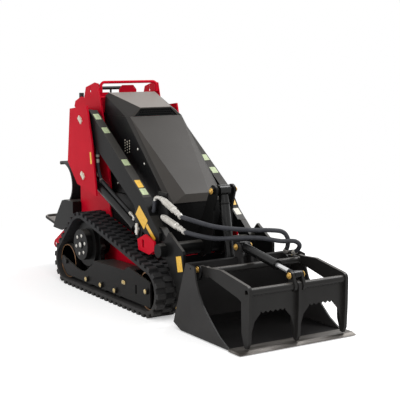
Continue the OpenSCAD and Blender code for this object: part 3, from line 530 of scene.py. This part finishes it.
def past(coupler, reach):
    """The point at a distance past a coupling's end: end + reach * (end - start) / length."""
    (x0, z0), (x1, z1) = coupler
    length = math.hypot(x1 - x0, z1 - z0)
    return x1 + reach * (x1 - x0) / length, COUPLING_MIDDLE, z1 + reach * (z1 - z0) / length


ROUTES = {
    "hose_upper": [past(COUPLERS[0], 0.8), past(COUPLERS[0], 25), (700, -245, 632), (770, -150, 600),
                   (830, -50, 585), (880, 60, 575), (930, 160, 572), (960, 220, 560), (975, 245, 520),
                   (960, 255, 470), (930, 260, 430)],
    "hose_lower": [past(COUPLERS[1], 0.8), past(COUPLERS[1], 25), (735, -245, 550), (790, -150, 530),
                   (850, -40, 532), (910, 80, 530), (985, 188, 512), (1028, 255, 512), (1032, 290, 485),
                   (1000, 300, 450), (960, 300, 425)]}
# Ferrules crimped on the hoses' ends: distance from the end, and how much wider than the hose
FERRULE = [(0.4, -2), (0.4, 1.2), (5, 2.2), (9, 1.4), (14, 2.2), (19, 1.4), (24, 2.2), (28, 1.2), (30, 0.4)]
ferrule_profile = [(h, HOSE_R + wider) for h, wider in FERRULE]
ferrules = {"arms": [], "bucket": []}
for name, route in ROUTES.items():
    line = smooth_path([mm(*p) for p in route], HOSE_POINTS)
    sleeve = HOSE_R - 0.3 + 0.3 * np.cos(np.arange(SLEEVE_POINTS) * 2.1)
    hose = piece(f"sleeved_{name}", [swept(smooth_path(line, SLEEVE_POINTS), sleeve, 18)], hose_rubber,
                 None, crease=60)
    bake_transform(hose)
    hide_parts(name)
    ferrules["arms"].append(turned(line[0], line[1] - line[0], ferrule_profile))
    ferrules["bucket"].append(turned(line[-1], line[-2] - line[-1], ferrule_profile))
for body, ends in ferrules.items():
    piece(f"hose_ferrules_{body}", ends, plated, body)

# Hoses and fittings of the lift cylinders. The cylinder runs from its base pin to its rod pin, given in
# machine (x, z).
LIFT_BASE, LIFT_ROD = np.array((-551.0, 787.0)), np.array((177.0, 480.0))
lift_run = (LIFT_ROD - LIFT_BASE) / np.linalg.norm(LIFT_ROD - LIFT_BASE)
lift_up = np.array((-lift_run[1], lift_run[0]))
lift_line = np.array([lift_run[0], 0, lift_run[1]])


def by_cylinder(along, above, s):
    """A point by a lift cylinder: base pin + along * its direction + above * the direction square to
    it, in mm."""
    x, z = LIFT_BASE + along * lift_run + above * lift_up
    return mm(x, s * ARM_MIDDLE, z)


# The hose's spiral guard along the barrel, as (along, above), with the ridges that show as turns
GUARD = [(170, 47.2), (290, 47.4), (420, 47.2), (540, 47.4), (600, 47)]
GUARD_POINTS, GUARD_RIDGES = 321, 30
guard_radius = 12.4 + 1.5 * np.cos(np.arange(GUARD_POINTS) / GUARD_POINTS * 2 * np.pi * GUARD_RIDGES)
# The hose that comes down the tower, in machine (x, z), and its two bands as (x, z, fall, profile)
RISER = [(-437, 985), (-434, 930), (-432, 885), (-424, 840), (-405, 800), (-376, 764.5), (-330, 745)]
BANDS = [(-434.4, 938, (0.8, 0, -20), [(0, 11.6), (0, 12.6), (16, 12.6), (16, 11.6)]),
         (-433.0, 908, (0.9, 0, -20), [(0, 11.6), (0, 12.1), (24, 12.1), (24, 11.6)])]
# The pipe that bends from the guard's front end into the barrel, as (along, above), and the profiles of
# the fittings at the guard's two ends, of the nut where the pipe enters the barrel, and of the fitting
# at the top of the hose that comes down the tower
PIPE = [(622, 47), (642, 46), (656, 40), (660, 28)]
END_FITTING = [(0, 9), (0, 13), (8, 13), (8, 10.5), (16, 10.5), (16, 12.5), (26, 12.5), (26, 9)]
PIPE_NUT = [(0, 14), (9, 14), (10, 12)]
START_FITTING = [(0, 9), (0, 14.2), (14, 14.2), (15, 11)]
RISER_FITTING = [(0, 9), (0, 15), (14, 15), (14, 11), (24, 11), (25, 8)]
# The upright fitting outside the rod's clevis, from its top down, and the cap on the arm's side
CLEVIS_FITTING = [(0, 6), (0, 9), (10, 9), (10, 12), (26, 12), (26, 10), (44, 10), (44, 13), (60, 13),
                  (60, 9), (72, 9), (74, 6)]
CLEVIS_CAP = [(0, 11), (4, 11), (5, 8), (13, 8)]
for side, s in SIDES:
    body = f"lift_barrel_{side}"
    guard = smooth_path([by_cylinder(along, above, s) for along, above in GUARD], GUARD_POINTS)
    piece(f"guarded_hose_{side}", [swept(guard, guard_radius, 16)], plastic, body,
          crease=60)
    riser = smooth_path([mm(x, s * ARM_MIDDLE, z) for x, z in RISER], 90)
    piece(f"riser_hose_{side}", [swept(riser, 11.5, 16)], hose_rubber, body)
    bands = [turned(mm(x, s * ARM_MIDDLE, z), fall, profile) for x, z, fall, profile in BANDS]
    piece(f"riser_band_{side}", bands, cream_film, body)
    pipe = smooth_path([by_cylinder(along, above, s) for along, above in PIPE], 24)
    fittings = [turned(by_cylinder(598, 47, s), lift_line, END_FITTING),
                swept(pipe, 8.5, 12),
                turned(by_cylinder(660, 31, s), np.cross(lift_line, ACROSS), PIPE_NUT, 6),
                turned(by_cylinder(172, 47.2, s), -lift_line, START_FITTING),
                turned(mm(-437, s * ARM_MIDDLE, 984), UP, RISER_FITTING)]
    piece(f"lift_hose_fittings_{side}", fittings, plated, body)
    clevis = [turned(mm(182, s * 348.5, 556), -UP, CLEVIS_FITTING, 20),
              turned(mm(182, s * 335.2, 520), s * ACROSS, CLEVIS_CAP, 16)]
    piece(f"clevis_fitting_{side}", clevis, plated, "arms")

# Hood: a near-black sheet of painted shade behind its intake, an outline in machine (y, z), a rim round
# each vent hole, and the side screws, in machine (x, z)
INTAKE = [(-158, 1207), (158, 1207), (112, 1249), (-112, 1249)]
INTAKE_BACK_FRONT = (-192, -190)
intake = np.array([[mm(x, y, z) for y, z in INTAKE] for x in INTAKE_BACK_FRONT])
# Painted shade: this sheet stands in for the dark hollow behind the intake
piece("intake_shade_sheet", [intake], shade_sheet, "hood")
VENT_COLUMNS, VENT_ROWS = 3, 5
VENT_RIM = [(0, 5.4), (0.5, 5.4), (0.7, 4.8), (0.5, 2.4), (0.1, 2.3)]
HOOD_SCREWS = [(-39, 1001), (-318, 750), (46, 913)]
for side, s in SIDES:
    vents = []
    for i in range(VENT_COLUMNS):
        for j in range(VENT_ROWS):
            hole = mm(-212 + 30 * i, s * HOOD_SIDE, 1048 - 18 * j - 9 * (i % 2))
            vents.append(turned(hole, s * ACROSS, VENT_RIM, 12))
    piece(f"vent_rims_{side}", vents, pin_plate, "hood")
    screws = []
    for x, z in HOOD_SCREWS:
        screws += hex_head(mm(x, s * HOOD_SIDE, z), s * ACROSS, 10, 5, 8)
    piece(f"hood_screws_{side}", screws, plated, "hood")

# Ring round the upper end of the tilt cylinder's barrel, 76 mm below its upper pin
TILT_TOP, TILT_EYE = np.array((642.0, 793.0)), np.array((735.0, 305.0))
tilt_run = (TILT_EYE - TILT_TOP) / np.linalg.norm(TILT_EYE - TILT_TOP)
ring_x, ring_z = TILT_TOP + 76 * tilt_run
tilt_ring = turned(mm(ring_x, 0, ring_z), (tilt_run[0], 0, tilt_run[1]),
                   [(0, 31.2), (1, 33.4), (10, 33.4), (11, 31.2)], 40)
piece("tilt_cylinder_ring", [tilt_ring], black_paint, "tilt_barrel")


# Floor, light and camera

def ground():
    """A flat round floor that fades out: opacity falls smoothly from 1 at 1.5 m to 0 at 3.4 m from the
    middle. Rays straight from the camera see it a little lifted, so that it renders pale."""
    reach_m, sides, camera_lift = 5, 96, 0.40
    angle = np.linspace(0, 2 * np.pi, sides, endpoint=False)
    mesh = bpy.data.meshes.new("floor")
    corners = [(reach_m * math.cos(a), reach_m * math.sin(a), 0) for a in angle]
    mesh.from_pydata(corners, [], [list(range(sides))])
    made = bpy.data.objects.new("floor", mesh)
    bpy.context.scene.collection.objects.link(made)
    pale = bpy.data.materials.new("pale_floor")
    pale.use_nodes = True
    tree = pale.node_tree
    shader = tree.nodes["Principled BSDF"]
    shader.inputs["Base Color"].default_value = srgb("fbfbfb")
    shader.inputs["Roughness"].default_value = 0.9
    shader.inputs["Specular IOR Level"].default_value = 0.0
    place = add(tree, "ShaderNodeTexCoord")
    reach = add(tree, "ShaderNodeVectorMath", {0: (place, "Object")}, operation="LENGTH")
    fade = add(tree, "ShaderNodeMapRange", {"Value": (reach, "Value")},
               {"From Min": 1.5, "From Max": 3.4, "To Min": 1.0, "To Max": 0.0},
               interpolation_type="SMOOTHSTEP")
    tree.links.new(fade.outputs[0], shader.inputs["Alpha"])
    rays = add(tree, "ShaderNodeLightPath")
    lift = add(tree, "ShaderNodeMath", {0: (rays, "Is Camera Ray")}, {1: camera_lift}, operation="MULTIPLY")
    shader.inputs["Emission Color"].default_value = (1, 1, 1, 1)
    tree.links.new(lift.outputs[0], shader.inputs["Emission Strength"])
    made.data.materials.append(pale)


def panel(name, place, aim_at, size, watts):
    """A square soft box at a place, turned to face a point."""
    light = bpy.data.lights.new(name, "AREA")
    light.shape = "SQUARE"
    light.size = size
    light.energy = watts
    made = bpy.data.objects.new(name, light)
    made.location = place
    made.rotation_euler = (Vector(aim_at) - Vector(place)).to_track_quat("-Z", "Y").to_euler()
    bpy.context.scene.collection.objects.link(made)


def camera():
    """The photograph's view: target + away * (sin az * cos el, -cos az * cos el, sin el)."""
    azimuth, elevation, away = math.radians(57.573), math.radians(8.1008), 6.6909
    target = Vector((0.36632, 0.0, 0.70110))
    made = bpy.data.objects.new("camera", bpy.data.cameras.new("camera"))
    made.data.lens = 95.30
    made.data.sensor_width = 36.0
    made.data.clip_end = 200.0
    made.location = target + away * Vector((math.sin(azimuth) * math.cos(elevation),
                                            -math.cos(azimuth) * math.cos(elevation), math.sin(elevation)))
    made.rotation_euler = (target - made.location).to_track_quat("-Z", "Y").to_euler()
    bpy.context.scene.collection.objects.link(made)
    bpy.context.scene.camera = made


def sky():
    """Pale even light of strength 0.55, and 1, which is white, for camera, glass and gloss rays:
    strength = 0.55 + 0.45 * the largest of the three."""
    world = bpy.data.worlds.new("studio")
    bpy.context.scene.world = world
    world.use_nodes = True
    tree = world.node_tree
    rays = add(tree, "ShaderNodeLightPath")
    seen = add(tree, "ShaderNodeMath", {0: (rays, "Is Camera Ray"), 1: (rays, "Is Transmission Ray")},
               operation="MAXIMUM")
    any_of = add(tree, "ShaderNodeMath", {0: (seen, 0), 1: (rays, "Is Glossy Ray")}, operation="MAXIMUM")
    level = add(tree, "ShaderNodeMapRange", {"Value": (any_of, 0)}, {"To Min": 0.55, "To Max": 1.0})
    shade = tree.nodes["Background"]
    shade.inputs["Color"].default_value = (1, 1, 1, 1)
    tree.links.new(level.outputs[0], shade.inputs["Strength"])


ground()
panel("key", (0.8, 4.4, 5.4), (0, 0, 0.6), 3.0, 290)
panel("front", (4.8, -2.0, 3.4), (0.3, 0, 0.6), 2.6, 80)
panel("side", (-0.6, -5.2, 2.2), (0, 0, 0.7), 3.0, 62)
camera()
sky()
bpy.context.scene.view_settings.view_transform = "Standard"
